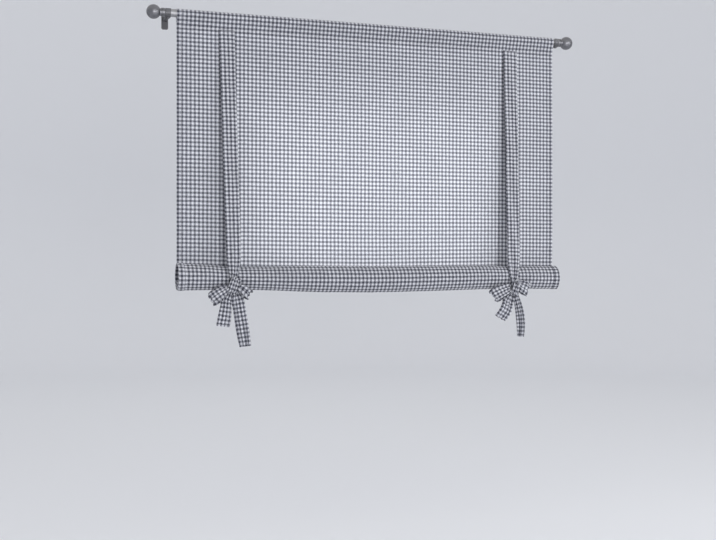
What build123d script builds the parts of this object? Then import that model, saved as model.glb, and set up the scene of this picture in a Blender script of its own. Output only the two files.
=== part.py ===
from build123d import *

import os
from dataclasses import dataclass
from math import acos, atan2, cos, degrees, hypot, radians, sin, sqrt

# Tie-up window blind on a curtain rod, in millimetres.
# X runs along the rod, -Y points into the room and +Z is up. The wall is the plane Y = 0,
# and the origin is the centre of the four screw holes in the two wall plates.

os.makedirs("parts", exist_ok=True)

# ---- Driving dimensions -------------------------------------------------------------

# Rod
rod_diameter = 19.0
rod_wall = 1.0
rod_past_cradle = 0.5  # from each cradle's outer side to the finial's collar
rod_stand_off = 52.0  # wall to rod axis

# Wall brackets
plate_width = 16.0
plate_height = 50.0
plate_thickness = 3.5
plate_corner_radius = 4.0
rod_above_plate_middle = 4.0
screw_spacing = 34.0
screw_hole_diameter = 4.5
countersink_diameter = 8.6
arm_width = 8.0
arm_height = 10.0
arm_below_rod = 5.0
cradle_width = 13.0
cradle_wall = 2.6
cradle_lip_height = 8.0  # lips above the rod axis
cradle_clearance = 0.15
lip_rounding = 0.45  # share of the cradle's wall
casting_edge_radius = 0.6
arm_corner_radius = 2.0
arm_root_radius = 1.5

# Set screw under each cradle
set_screw_diameter = 4.0
set_screw_length = 4.6
set_screw_slot = 0.8
set_screw_clearance = 0.05
boss_wall = 2.2
boss_depth = 2.4  # below the cradle's outer face

# Finials
ball_diameter = 34.0
ball_centre_past_rod = 26.0
collar_rise = 1.0  # collar and disc above the rod's surface
collar_length = 5.0
groove_depth = 2.0
groove_width = 1.2
disc_length = 1.8
neck_depth = 1.5  # neck below the collar's surface
spigot_length = 18.0
spigot_chamfer = 1.0
spigot_slot = 1.6
turned_edge_radius = 0.4
spigot_clearance = 0.1

# Cloth panel: a header pocket, the flat drop and the rolled-up rest
cloth_width = 1000.0
cloth_drop = 667.0  # top fold to the lowest point of the roll
bare_rod_left = 14.5  # between the cloth and the left cradle
bare_rod_right = 2.5
cloth_thickness = 1.0
header_depth = 42.0  # top fold to the header seam
pocket_clearance = 0.3
pocket_apex_above_seam = 4.0
roll_diameter = 63.0
roll_wall = 5.0  # the turns together

# Ties: one in front of the cloth and one behind it at each side
tie_from_edge = 124.0  # from each side of the cloth to the middle of the ties
tie_width = 38.0
tie_thickness = 1.0
tie_clearance = 0.3

# Bows
knot_width = 26.0
knot_depth = 13.4
knot_start_angle = 187.0  # about the roll's axis, from the wall side over the top
knot_middle_angle = 206.5
knot_end_angle = 229.0
loop_depth = 7.0
loop_width = 32.0
loop_root = 4.0  # overlap of a loop with its half of the knot
bow_in_front = 0.5  # clearance from the tie behind the loops
tail_below_knot_split = 1.25


@dataclass(frozen=True)
class Bow:
    """How one bow hangs: reach and droop of its loops, length, splay and width of its tails."""

    outer_reach: float
    outer_droop: float
    inner_reach: float
    inner_droop: float
    front_tail: float
    front_splay: float
    front_tail_width: float
    back_tail: float
    back_splay: float
    back_tail_width: float


bows = {
    "left": Bow(
        outer_reach=60.0,
        outer_droop=31.0,
        inner_reach=44.0,
        inner_droop=31.0,
        front_tail=82.0,
        front_splay=15.0,
        front_tail_width=32.0,
        back_tail=128.0,
        back_splay=8.0,
        back_tail_width=25.0,
    ),
    "right": Bow(
        outer_reach=68.0,
        outer_droop=22.0,
        inner_reach=40.0,
        inner_droop=46.0,
        front_tail=76.0,
        front_splay=27.0,
        front_tail_width=28.0,
        back_tail=114.0,
        back_splay=4.0,
        back_tail_width=23.0,
    ),
}

# ---- Sizes that follow ----------------------------------------------------------------

rod_radius = rod_diameter / 2
rod_y = -rod_stand_off
rod_z = rod_above_plate_middle
bracket_span = cloth_width + bare_rod_left + bare_rod_right + cradle_width
rod_length = bracket_span + cradle_width + 2 * rod_past_cradle
cradle_bore = rod_radius + cradle_clearance
cradle_radius = cradle_bore + cradle_wall
set_screw_bore = set_screw_diameter / 2 + set_screw_clearance
collar_radius = rod_radius + collar_rise

pocket_inner = rod_radius + pocket_clearance
pocket_outer = pocket_inner + cloth_thickness
cloth_shift = (bare_rod_left - bare_rod_right) / 2
tie_from_middle = cloth_width / 2 - tie_from_edge
top_z = rod_z + pocket_outer
seam_z = top_z - header_depth
cloth_front_y = rod_y - cloth_thickness / 2
cloth_back_y = rod_y + cloth_thickness / 2
roll_radius = roll_diameter / 2
roll_y = cloth_back_y - roll_radius
roll_z = top_z - cloth_drop + roll_radius

back_tie_inner = roll_radius + tie_clearance
back_tie_outer = back_tie_inner + tie_thickness
front_tie_inner = back_tie_outer + tie_clearance
front_tie_outer = front_tie_inner + tie_thickness
knot_outer = front_tie_inner + knot_depth
loop_y = roll_y - front_tie_outer - bow_in_front - loop_depth / 2


# ---- Small helpers in the section plane (Y to the right, Z up) --------------------------


def on_circle(centre, radius, angle):
    """Return the point of a circle at an angle in degrees from +Y towards +Z."""
    return (
        centre[0] + radius * cos(radians(angle)),
        centre[1] + radius * sin(radians(angle)),
    )


def tangent_angle(point, centre, radius, side):
    """Return the angle at which a line from point touches the circle, on side +1 or -1."""
    away = (point[0] - centre[0], point[1] - centre[1])
    spread = degrees(acos(radius / hypot(*away)))
    return degrees(atan2(away[1], away[0])) + side * spread


def arc(centre, radius, start, end):
    """Return the arc of a circle between two angles in degrees."""
    return CenterArc(centre, radius, start, end - start)


def ring_sector(centre, inner, outer, start, end):
    """Return the face between two radii and two angles."""
    edges = [
        arc(centre, outer, start, end),
        Line(on_circle(centre, outer, end), on_circle(centre, inner, end)),
        arc(centre, inner, end, start),
        Line(on_circle(centre, inner, start), on_circle(centre, outer, start)),
    ]
    return make_face(edges)


def along_x(face, start, end):
    """Return the section extruded from X = start to X = end."""
    return extrude(Plane.YZ.offset(start) * face, end - start)


def at_each_end(name, build):
    """Build a piece at the left and at the right end and write both."""
    for end, sign in (("left", -1), ("right", 1)):
        write(f"{end}_{name}", build(sign))


def write(name, piece):
    """Write one node's STEP file."""
    export_step(piece, f"parts/{name}.step")


# ---- Rod ---------------------------------------------------------------------------------


def make_rod():
    """Return the tube, along X at the rod axis."""
    tube = Cylinder(rod_radius, rod_length) - Cylinder(rod_radius - rod_wall, rod_length)
    return Pos(0, rod_y, rod_z) * Rot(0, 90, 0) * tube


# ---- Finials -----------------------------------------------------------------------------


def make_finial(sign):
    """Return a turned finial: split spigot, collar, groove, disc, neck and ball."""
    spigot = rod_radius - rod_wall - spigot_clearance
    collar = collar_radius
    groove = collar - groove_depth
    neck = collar - neck_depth
    ball = ball_diameter / 2
    groove_start = collar_length
    groove_end = groove_start + groove_width
    disc_end = groove_end + disc_length
    ball_start = ball_centre_past_rod - sqrt(ball**2 - neck**2)
    ball_end = ball_centre_past_rod + ball
    outline = Polyline(
        (-spigot_length, 0),
        (-spigot_length, spigot - spigot_chamfer),
        (-spigot_length + spigot_chamfer, spigot),
        (0, spigot),
        (0, collar),
        (groove_start, collar),
        (groove_start, groove),
        (groove_end, groove),
        (groove_end, collar),
        (disc_end, collar),
        (disc_end, neck),
        (ball_start, neck),
    )
    round_end = ThreePointArc((ball_start, neck), (ball_centre_past_rod, ball), (ball_end, 0))
    axis_line = Line((ball_end, 0), (-spigot_length, 0))
    turned = revolve(make_face([*outline.edges(), round_end, axis_line]), Axis.X)
    rims = turned.edges().filter_by(GeomType.CIRCLE).filter_by(lambda rim: abs(rim.radius - collar) < 0.01)
    turned = fillet(rims, turned_edge_radius)
    slot = Pos(-spigot_length / 2, 0, 0) * Box(spigot_length, spigot_slot, 2 * collar)
    finial = Rot(0, 0, 0 if sign > 0 else 180) * (turned - slot)
    return Pos(sign * rod_length / 2, rod_y, rod_z) * finial


# ---- Brackets ----------------------------------------------------------------------------


def cradle_seat():
    """Return the section of the space that the rod drops into, open above."""
    seat = Pos(rod_y, rod_z) * Circle(cradle_bore)
    return seat + Pos(rod_y, rod_z + cradle_radius) * Rectangle(2 * cradle_bore, 2 * cradle_radius)


def make_cradle():
    """Return the open-topped cup under the rod, with rounded lips."""
    lips = Pos(rod_y, rod_z + cradle_lip_height / 2) * Rectangle(2 * cradle_radius, cradle_lip_height)
    lower = Pos(rod_y, rod_z) * Circle(cradle_radius)
    above = Pos(rod_y, rod_z + cradle_lip_height + cradle_radius) * Rectangle(
        4 * cradle_radius, 2 * cradle_radius
    )
    section = lower + lips - above - cradle_seat()
    section = fillet(section.vertices().group_by(Axis.Y)[-1], cradle_wall * lip_rounding)
    cradle = along_x(section, -cradle_width / 2, cradle_width / 2)
    sides = cradle.faces().sort_by(Axis.X)
    return fillet(sides[0].edges() + sides[-1].edges(), casting_edge_radius)


def make_bracket(sign):
    """Return one wall bracket: plate, arm, open-topped cradle and set-screw boss."""
    plate_face = Plane.XZ * RectangleRounded(plate_width, plate_height, plate_corner_radius)
    plate = extrude(plate_face, plate_thickness)
    plate = fillet(plate.faces().sort_by(Axis.Y)[0].edges(), casting_edge_radius)
    arm_length = rod_stand_off - plate_thickness - cradle_bore
    arm_face = Plane.XZ.offset(plate_thickness) * Pos(0, rod_z - arm_below_rod) * RectangleRounded(
        arm_width, arm_height, arm_corner_radius
    )
    arm = extrude(arm_face, arm_length)
    body = plate + arm
    root = body.edges().filter_by_position(Axis.Y, -plate_thickness, -plate_thickness)
    root = root.filter_by(lambda edge: abs(edge.center().X) <= arm_width / 2)
    root = root.filter_by(lambda edge: abs(edge.center().Z - rod_z + arm_below_rod) <= arm_height / 2)
    body = fillet(root, arm_root_radius)
    boss_length = cradle_wall + boss_depth
    boss_middle = rod_z - cradle_bore - boss_length / 2
    boss = Pos(0, rod_y, boss_middle) * Cylinder(set_screw_bore + boss_wall, boss_length)
    bracket = body + make_cradle() + boss
    bracket -= along_x(cradle_seat(), -cradle_width, cradle_width)
    bracket -= Pos(0, rod_y, boss_middle) * Cylinder(set_screw_bore, 2 * cradle_radius)
    for side in (-1, 1):
        bracket -= Pos(0, 0, side * screw_spacing / 2) * screw_hole()
    return Pos(sign * bracket_span / 2, 0, 0) * bracket


def screw_hole():
    """Return a countersunk hole through the plate, along Y from the wall."""
    hole_radius = screw_hole_diameter / 2
    sink_radius = countersink_diameter / 2
    sink_depth = sink_radius - hole_radius
    shank = extrude(Plane.XZ * Circle(hole_radius), plate_thickness)
    sink = Cone(hole_radius, sink_radius, sink_depth)
    return shank + Pos(0, sink_depth / 2 - plate_thickness, 0) * Rot(90, 0, 0) * sink


def make_set_screw(sign):
    """Return the slotted set screw that holds the rod in its cradle."""
    screw = Cylinder(set_screw_diameter / 2, set_screw_length)
    slot_middle = -(set_screw_length - set_screw_slot) / 2
    screw -= Pos(0, 0, slot_middle) * Box(set_screw_diameter, set_screw_slot, set_screw_slot)
    tip = rod_z - rod_radius - set_screw_clearance
    return Pos(sign * bracket_span / 2, rod_y, tip - set_screw_length / 2) * screw


# ---- Cloth panel ---------------------------------------------------------------------------


def pocket_hole():
    """Return the section of the header pocket's inside, round above and pointed below."""
    rod = (rod_y, rod_z)
    apex = (rod_y, seam_z + pocket_apex_above_seam)
    front = tangent_angle(apex, rod, pocket_inner, -1)
    back = tangent_angle(apex, rod, pocket_inner, 1)
    edges = [
        arc(rod, pocket_inner, back, front + 360),
        Line(on_circle(rod, pocket_inner, front), apex),
        Line(apex, on_circle(rod, pocket_inner, back)),
    ]
    return make_face(edges)


def make_panel():
    """Return the cloth: pocket round the rod, flat drop and roll in front of it."""
    rod = (rod_y, rod_z)
    roll = (roll_y, roll_z)
    seam_front = (rod_y - cloth_thickness, seam_z)
    seam_back = (rod_y + cloth_thickness, seam_z)
    front = tangent_angle(seam_front, rod, pocket_outer, -1)
    back = tangent_angle(seam_back, rod, pocket_outer, 1)
    meets = degrees(acos(1 - cloth_thickness / roll_radius))
    outline = [
        arc(rod, pocket_outer, back, front + 360),
        Polyline(
            on_circle(rod, pocket_outer, front),
            seam_front,
            (cloth_front_y, seam_z),
            on_circle(roll, roll_radius, meets),
        ),
        arc(roll, roll_radius, meets, 360),
        Polyline(
            (cloth_back_y, roll_z),
            (cloth_back_y, seam_z),
            seam_back,
            on_circle(rod, pocket_outer, back),
        ),
    ]
    edges = [edge for line in outline for edge in line.edges()]
    section = make_face(edges) - pocket_hole() - Pos(*roll) * Circle(roll_radius - roll_wall)
    return along_x(section, cloth_shift - cloth_width / 2, cloth_shift + cloth_width / 2)


# ---- Ties ------------------------------------------------------------------------------------


def loop_of_tie(reach, droop, start, sign):
    """Return a flattened loop of tie that leaves the knot sideways and droops."""
    length = reach - start
    band = SlotOverall(length, loop_depth)
    band -= SlotOverall(length - 2 * tie_thickness, loop_depth - 2 * tie_thickness)
    loop = Pos(start + length / 2, 0, 0) * extrude(band, loop_width / 2, both=True)
    knot_z = roll_z + (front_tie_outer + knot_outer) / 2 * sin(radians(knot_middle_angle))
    turn = Rot(0, droop, 0) if sign > 0 else Rot(0, -droop, 0) * Rot(0, 0, 180)
    return Pos(0, loop_y, knot_z) * turn * loop


def tail_of_tie(length, splay, width, sign):
    """Return a tail that hangs from the lower edge of the knot."""
    tail = Pos(0, 0, -length / 2) * Box(width, tie_thickness, length)
    root_x = sign * (width / 2 + 2 * tie_thickness)
    split_z = roll_z + knot_outer * sin(radians(knot_middle_angle))
    root = Pos(root_x, loop_y, split_z - tail_below_knot_split)
    return root * Rot(0, -sign * splay, 0) * tail


def make_front_tie(side_sign, bow):
    """Return the front tie: straight to the roll's front, its knot half, loop and tail."""
    roll = (roll_y, roll_z)
    middle = (front_tie_inner + front_tie_outer) / 2
    start = (cloth_front_y - tie_clearance - tie_thickness, seam_z - tie_clearance)
    touch = tangent_angle(start, roll, middle, 1)
    drop = trace(Line(start, on_circle(roll, middle, touch)), line_width=tie_thickness)
    wrap = ring_sector(roll, front_tie_inner, front_tie_outer, touch, knot_middle_angle)
    strip = along_x(drop + wrap, -tie_width / 2, tie_width / 2)
    upper = ring_sector(roll, front_tie_inner, knot_outer, knot_start_angle, knot_middle_angle)
    lower = ring_sector(roll, front_tie_inner, knot_outer, knot_middle_angle, knot_end_angle)
    half = knot_width / 2
    tie = strip + along_x(upper, -half, half) + along_x(lower, -half, -tie_clearance)
    tie += loop_of_tie(bow.outer_reach, bow.outer_droop, half - loop_root, -1)
    tie += tail_of_tie(bow.front_tail, bow.front_splay, bow.front_tail_width, -1)
    return Pos(side_sign * tie_from_middle + cloth_shift, 0, 0) * tie


def make_back_tie(side_sign, bow):
    """Return the back tie: down behind the cloth, under the roll, knot half, loop and tail."""
    roll = (roll_y, roll_z)
    back_y = cloth_back_y + tie_clearance + tie_thickness / 2
    top = (back_y, seam_z - tie_clearance)
    drop = trace(Line(top, (back_y, roll_z)), line_width=tie_thickness)
    knot_top = knot_middle_angle + degrees(2 * tie_thickness / front_tie_inner)
    wrap = ring_sector(roll, back_tie_inner, back_tie_outer, knot_top, 360)
    strip = along_x(drop + wrap, -tie_width / 2, tie_width / 2)
    inside = (back_tie_inner + back_tie_outer) / 2
    knot = ring_sector(roll, inside, knot_outer, knot_top, knot_end_angle)
    loop_start = knot_width / 2 + tie_clearance
    tie = strip + along_x(knot, tie_clearance, loop_start + loop_root)
    loop = loop_of_tie(bow.inner_reach, bow.inner_droop, loop_start, 1)
    front_knot = ring_sector(roll, front_tie_inner, knot_outer, knot_start_angle, knot_top)
    tie += loop - along_x(front_knot, -loop_start, loop_start)
    tie += tail_of_tie(bow.back_tail, bow.back_splay, bow.back_tail_width, 1)
    return Pos(side_sign * tie_from_middle + cloth_shift, 0, 0) * tie


write("rod", make_rod())
at_each_end("finial", make_finial)
at_each_end("bracket", make_bracket)
at_each_end("set_screw", make_set_screw)
write("cloth_panel", make_panel())
at_each_end("front_tie", lambda sign: make_front_tie(sign, bows["left" if sign < 0 else "right"]))
at_each_end("back_tie", lambda sign: make_back_tie(sign, bows["left" if sign < 0 else "right"]))
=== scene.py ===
"""Looks of a tie-up window blind of gingham cotton, hung from a curtain rod.

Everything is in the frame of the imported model: X runs along the rod, -Y points into the room,
+Z is up and the wall is Y = 0. Blender works in metres. The classes below hold their sizes in
millimetres, and Sheet turns them into metres when it writes a mesh.
"""

import logging
import math
from collections.abc import Callable
from dataclasses import dataclass, field
from enum import Enum

import bmesh
import bpy
from mathutils import Matrix, Vector, noise

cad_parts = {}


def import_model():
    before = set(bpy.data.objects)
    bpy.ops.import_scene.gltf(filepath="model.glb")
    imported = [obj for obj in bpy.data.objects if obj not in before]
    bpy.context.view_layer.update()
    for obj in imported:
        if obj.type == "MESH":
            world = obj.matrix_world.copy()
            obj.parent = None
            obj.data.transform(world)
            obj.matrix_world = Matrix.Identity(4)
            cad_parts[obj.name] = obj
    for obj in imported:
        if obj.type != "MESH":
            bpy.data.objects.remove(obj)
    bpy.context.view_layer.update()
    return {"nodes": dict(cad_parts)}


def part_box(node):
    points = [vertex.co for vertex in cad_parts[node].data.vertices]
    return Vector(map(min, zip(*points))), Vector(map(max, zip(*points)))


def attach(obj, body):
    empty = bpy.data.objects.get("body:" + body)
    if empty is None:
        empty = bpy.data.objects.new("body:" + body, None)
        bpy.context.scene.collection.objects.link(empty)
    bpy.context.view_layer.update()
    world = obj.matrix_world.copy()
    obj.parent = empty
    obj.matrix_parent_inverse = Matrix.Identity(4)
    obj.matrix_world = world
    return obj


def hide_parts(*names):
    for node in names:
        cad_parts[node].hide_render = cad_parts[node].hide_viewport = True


MM = 0.001
Place = tuple[float, float, float]
Tint = tuple[float, float, float]

log = logging.getLogger("blind")


# ---- Small helpers ----------------------------------------------------------------------


def smooth_step(low: float, high: float, value: float) -> float:
    """Rise smoothly from 0 to 1.

    Args:
        low: value at which the rise starts.
        high: value at which it ends.
        value: where to read it.

    Returns:
        A share from 0 to 1.
    """
    share = min(max((value - low) / (high - low), 0.0), 1.0)
    return share * share * (3.0 - 2.0 * share)


def wander(x: float, y: float, seed: float, scale: float) -> float:
    """Read a smooth random field.

    Args:
        x: first place, in millimetres.
        y: second place, in millimetres.
        seed: which field it is.
        scale: size of its bumps, in millimetres.

    Returns:
        A value from about -1 to 1.
    """
    return noise.noise(Vector((x / scale, y / scale, seed)))


def through(points: list[tuple[float, ...]], share: float) -> tuple[float, ...]:
    """Read a smooth line that goes through all of its points.

    Args:
        points: the values it goes through, evenly spaced.
        share: how far along the line, from 0 to the number of points less one.

    Returns:
        The values there.
    """
    last = len(points) - 1
    at = min(int(share), last - 1)
    t = share - at
    a, b, c, d = (points[min(max(at + k, 0), last)] for k in (-1, 0, 1, 2))
    return tuple(
        0.5 * (2 * q + (r - p) * t + (2 * p - 5 * q + 4 * r - s) * t**2 + (3 * q - p - 3 * r + s) * t**3)
        for p, q, r, s in zip(a, b, c, d)
    )


# ---- Shader groups ----------------------------------------------------------------------


class Wiring:
    """Short calls that place and join the nodes of one tree."""

    def __init__(self, tree: bpy.types.NodeTree) -> None:
        """Take the tree to work on."""
        self.tree = tree

    def node(self, kind: str, feeds: dict | None = None, **settings: object) -> bpy.types.Node:
        """Place a node.

        Args:
            kind: its Blender type without the leading ShaderNode.
            feeds: for each input, by name or number, an output socket or a value.
            settings: attributes to set on the node.

        Returns:
            The new node.
        """
        made = self.tree.nodes.new("ShaderNode" + kind)
        for name, value in settings.items():
            setattr(made, name, value)
        for name, value in (feeds or {}).items():
            self.feed(made.inputs[name], value)
        return made

    def feed(self, socket: bpy.types.NodeSocket, value: object) -> None:
        """Join an output socket to an input, or set the input's own value."""
        if isinstance(value, bpy.types.NodeSocket):
            self.tree.links.new(value, socket)
        elif isinstance(value, tuple) and len(value) == 3 and socket.type == "RGBA":
            socket.default_value = (*value, 1.0)
        else:
            socket.default_value = value

    def math(self, operation: str, *values: object, clamp: bool = False) -> bpy.types.NodeSocket:
        """Work out one step of arithmetic.

        Args:
            operation: the Math node's operation.
            values: its inputs, sockets or numbers.
            clamp: whether to keep the result from 0 to 1.

        Returns:
            The result's socket.
        """
        feeds = dict(enumerate(values))
        return self.node("Math", feeds, operation=operation, use_clamp=clamp).outputs[0]

    def blend(self, share: object, first: object, second: object, kind: str = "MIX") -> bpy.types.NodeSocket:
        """Mix two colours.

        Args:
            share: how much of the second shows.
            first: the colour at 0.
            second: the colour at 1.
            kind: the Mix node's blend type.

        Returns:
            The mixed colour's socket.
        """
        made = self.node("Mix", data_type="RGBA", blend_type=kind)
        for number, value in ((0, share), (6, first), (7, second)):
            self.feed(made.inputs[number], value)
        return made.outputs[2]

    def speckle(self, place: object, scale: float, detail: float = 2.0) -> bpy.types.NodeSocket:
        """Read a noise texture at a place, with its scale in bumps per metre."""
        return self.node("TexNoise", {"Vector": place, "Scale": scale, "Detail": detail}).outputs[0]


class ShaderGroup:
    """A node group that several finishes share, built once."""

    title = "group"
    takes: dict[str, str] = {}
    gives: dict[str, str] = {}
    _made: dict[str, bpy.types.NodeTree] = {}

    def tree(self) -> bpy.types.NodeTree:
        """Return the group, and build it the first time."""
        if self.title not in self._made:
            made = bpy.data.node_groups.new(self.title, "ShaderNodeTree")
            for way, sockets in (("INPUT", self.takes), ("OUTPUT", self.gives)):
                for name, kind in sockets.items():
                    made.interface.new_socket(name, in_out=way, socket_type="NodeSocket" + kind)
            wiring = Wiring(made)
            entry = made.nodes.new("NodeGroupInput")
            finish = made.nodes.new("NodeGroupOutput")
            for name, socket in self.wire(wiring, entry.outputs).items():
                made.links.new(socket, finish.inputs[name])
            self._made[self.title] = made
        return self._made[self.title]

    def wire(self, w: Wiring, given: object) -> dict[str, bpy.types.NodeSocket]:
        """Build the group's inside and return the socket of each thing that it gives."""
        raise NotImplementedError

    def place(self, w: Wiring, feeds: dict) -> bpy.types.Node:
        """Place the group in a material and feed its inputs."""
        made = w.node("Group", node_tree=self.tree())
        for name, value in feeds.items():
            w.feed(made.inputs[name], value)
        return made


class GinghamWeave(ShaderGroup):
    """Plain-woven cotton check: white and dyed stripes of warp crossed by the same of weft."""

    title = "Gingham Weave"
    takes = {
        "Cloth Place": "Vector",
        "Check": "Float",
        "Thread": "Float",
        "Dyed": "Color",
        "Crossed": "Color",
        "Undyed": "Color",
        "Unevenness": "Float",
    }
    gives = {"Colour": "Color", "Thread Height": "Float"}
    stripe_edge = 7.0  # how sharply a stripe ends
    wander_scale = 90.0  # bumps per metre in the lie of the threads
    wander_reach = 0.0012  # how far they wander, in metres
    crown_share = 0.42  # how far single threads show in the mid tone
    streak_scales = (2100.0, 16.0)  # per metre, across and along a thread
    cloud_scale = 14.0  # bumps per metre in the evenness of the dye
    cloud_gain = 0.6
    slub_height = 0.15  # what a thick place in a thread adds to its height

    def stripes(self, w: Wiring, along: object, check: object) -> bpy.types.NodeSocket:
        """Return 1 on the dyed stripes of one set of threads and 0 on its undyed ones."""
        turns = w.math("MULTIPLY", w.math("DIVIDE", along, check), math.tau)
        return w.math("MULTIPLY_ADD", w.math("SINE", turns), self.stripe_edge, 0.5, clamp=True)

    def wire(self, w: Wiring, given: object) -> dict[str, bpy.types.NodeSocket]:
        """Build the check, the threads and the dye's unevenness."""
        place, check = given["Cloth Place"], given["Check"]
        wobble = w.node("TexNoise", {"Vector": place, "Scale": self.wander_scale, "Detail": 1.0},
                        noise_dimensions="2D")
        evened = w.node("VectorMath", {0: wobble.outputs[1], 1: (0.5, 0.5, 0.5)}, operation="SUBTRACT")
        shift = w.node("VectorMath", {0: evened.outputs[0], "Scale": self.wander_reach}, operation="SCALE")
        moved = w.node("VectorMath", {0: place, 1: shift.outputs[0]}, operation="ADD").outputs[0]
        parts = w.node("SeparateXYZ", {0: moved})
        across, along = parts.outputs[0], parts.outputs[1]
        warp = self.stripes(w, across, check)
        weft = self.stripes(w, along, check)
        half_turn = w.math("DIVIDE", math.pi, given["Thread"])
        crowns = w.math(
            "MULTIPLY",
            w.math("SINE", w.math("MULTIPLY", across, half_turn)),
            w.math("SINE", w.math("MULTIPLY", along, half_turn)),
        )
        on_top = w.math("MULTIPLY", crowns, self.crown_share)
        over = w.math("MULTIPLY", w.math("SUBTRACT", warp, weft), on_top)
        dye = w.math("MULTIPLY_ADD", w.math("ADD", warp, weft), 0.5, over, clamp=True)
        light_half = w.blend(w.math("MULTIPLY", dye, 2.0, clamp=True), given["Undyed"], given["Crossed"])
        colour = w.blend(w.math("MULTIPLY_ADD", dye, 2.0, -1.0, clamp=True), light_half, given["Dyed"])
        streaks = []
        thin, long = self.streak_scales
        for stretch in ((thin, long, 1.0), (long, thin, 1.0)):
            drawn = w.node("VectorMath", {0: moved, 1: stretch}, operation="MULTIPLY").outputs[0]
            streaks.append(w.node("TexNoise", {"Vector": drawn, "Scale": 1.0, "Detail": 0.0},
                                  noise_dimensions="2D").outputs[0])
        streak = w.math("ADD", *streaks)
        cloud = w.node("TexNoise", {"Vector": place, "Scale": self.cloud_scale, "Detail": 3.0},
                       noise_dimensions="2D").outputs[0]
        clouded = w.math("MULTIPLY_ADD", cloud, self.cloud_gain, -self.cloud_gain / 2)
        uneven = w.math("ADD", w.math("SUBTRACT", streak, 1.0), clouded)
        gain = w.math("MULTIPLY_ADD", uneven, given["Unevenness"], 1.0)
        grey = w.node("CombineColor", {0: gain, 1: gain, 2: gain}).outputs[0]
        return {
            "Colour": w.blend(1.0, colour, grey, "MULTIPLY"),
            "Thread Height": w.math("MULTIPLY_ADD", streak, self.slub_height, w.math("ABSOLUTE", crowns)),
        }


class RunningStitch(ShaderGroup):
    """A machine-sewn line: short threads end to end, in the dent that they pull into the cloth."""

    title = "Running Stitch"
    takes = {"From Line": "Float", "Along Line": "Float", "Stitch": "Float", "Thread": "Float"}
    gives = {"Thread Mask": "Float", "Pull": "Float"}
    thread_ends = (-12.0, 5.2)  # slope and start of a stitch's end, as a share of the stitch
    thread_sides = (-3.0, 2.0)  # slope and start of its side, as a share of the thread
    dent_width = 5.0  # in threads
    thread_rise = 0.8

    def wire(self, w: Wiring, given: object) -> dict[str, bpy.types.NodeSocket]:
        """Build the threads and the dent."""
        away = w.math("ABSOLUTE", given["From Line"])
        share = w.math("DIVIDE", away, given["Thread"])
        beat = w.math("PINGPONG", given["Along Line"], w.math("MULTIPLY", given["Stitch"], 0.5))
        within = w.math("DIVIDE", beat, given["Stitch"])
        lies = w.math("MULTIPLY_ADD", within, *self.thread_ends, clamp=True)
        thin = w.math("MULTIPLY_ADD", share, *self.thread_sides, clamp=True)
        mask = w.math("MULTIPLY", lies, thin)
        dent = w.math("SUBTRACT", 1.0, w.math("DIVIDE", share, self.dent_width), clamp=True)
        pull = w.math("SUBTRACT", w.math("MULTIPLY", mask, self.thread_rise), w.math("MULTIPLY", dent, dent))
        return {"Thread Mask": mask, "Pull": pull}


class MetalSurface(ShaderGroup):
    """Plated or lacquered metal: drawn lines, fine pits, handling marks and dull patches."""

    title = "Metal Surface"
    takes = {
        "Metal Place": "Vector",
        "Drawn": "Vector",
        "Tone": "Color",
        "Worn Tone": "Color",
        "Roughness": "Float",
        "Wear": "Float",
    }
    gives = {"Colour": "Color", "Roughness": "Float", "Relief": "Float"}
    pit_scale = 2400.0  # bumps per metre
    patch_scale = 85.0
    mark_edge = (5.0, -2.6)  # slope and start of a handling mark
    line_shade = 0.22
    patch_shade = 0.24
    darkest = 0.77
    patch_roughness = (0.22, -0.11)  # slope and start
    line_roughness = 0.08
    line_relief = 0.6
    pit_relief = 0.5

    def wire(self, w: Wiring, given: object) -> dict[str, bpy.types.NodeSocket]:
        """Build the lines, pits and patches."""
        drawn = w.node("VectorMath", {0: given["Metal Place"], 1: given["Drawn"]}, operation="MULTIPLY")
        lines = w.speckle(drawn.outputs[0], 1.0, 3.0)
        pits = w.speckle(given["Metal Place"], self.pit_scale, 2.0)
        patches = w.speckle(given["Metal Place"], self.patch_scale, 4.0)
        marks = w.math("MULTIPLY_ADD", patches, *self.mark_edge, clamp=True)
        worn = w.math("MULTIPLY", w.math("MULTIPLY", marks, lines), given["Wear"], clamp=True)
        tone = w.blend(worn, given["Tone"], given["Worn Tone"])
        patched = w.math("MULTIPLY_ADD", patches, self.patch_shade, self.darkest)
        shade = w.math("MULTIPLY_ADD", lines, self.line_shade, patched)
        grey = w.node("CombineColor", {0: shade, 1: shade, 2: shade}).outputs[0]
        rough = w.math("ADD", given["Roughness"], w.math("MULTIPLY_ADD", patches, *self.patch_roughness))
        pitted = w.math("MULTIPLY", pits, self.pit_relief)
        return {
            "Colour": w.blend(1.0, tone, grey, "MULTIPLY"),
            "Roughness": w.math("MULTIPLY_ADD", lines, self.line_roughness, rough, clamp=True),
            "Relief": w.math("MULTIPLY_ADD", lines, self.line_relief, pitted),
        }


# ---- Finishes ---------------------------------------------------------------------------


def new_material(name: str) -> tuple[bpy.types.Material, Wiring, bpy.types.Node]:
    """Start an empty node material.

    Args:
        name: what it is called.

    Returns:
        The material, its wiring and its output node.
    """
    material = bpy.data.materials.new(name)
    material.use_nodes = True
    material.node_tree.nodes.clear()
    wiring = Wiring(material.node_tree)
    return material, wiring, wiring.node("OutputMaterial")


@dataclass(frozen=True)
class StitchLine:
    """A sewn line on a cloth, in the cloth's own millimetres."""

    axis: int  # 0 for a line along the cloth's length, 1 for a line across it
    at: float


class ClothUse(Enum):
    """Which cloth of the blind a finish is for."""

    PANEL = "panel"
    TIE = "tie"


ClothMaker = Callable[[ClothUse, tuple[StitchLine, ...]], bpy.types.Material]


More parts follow.
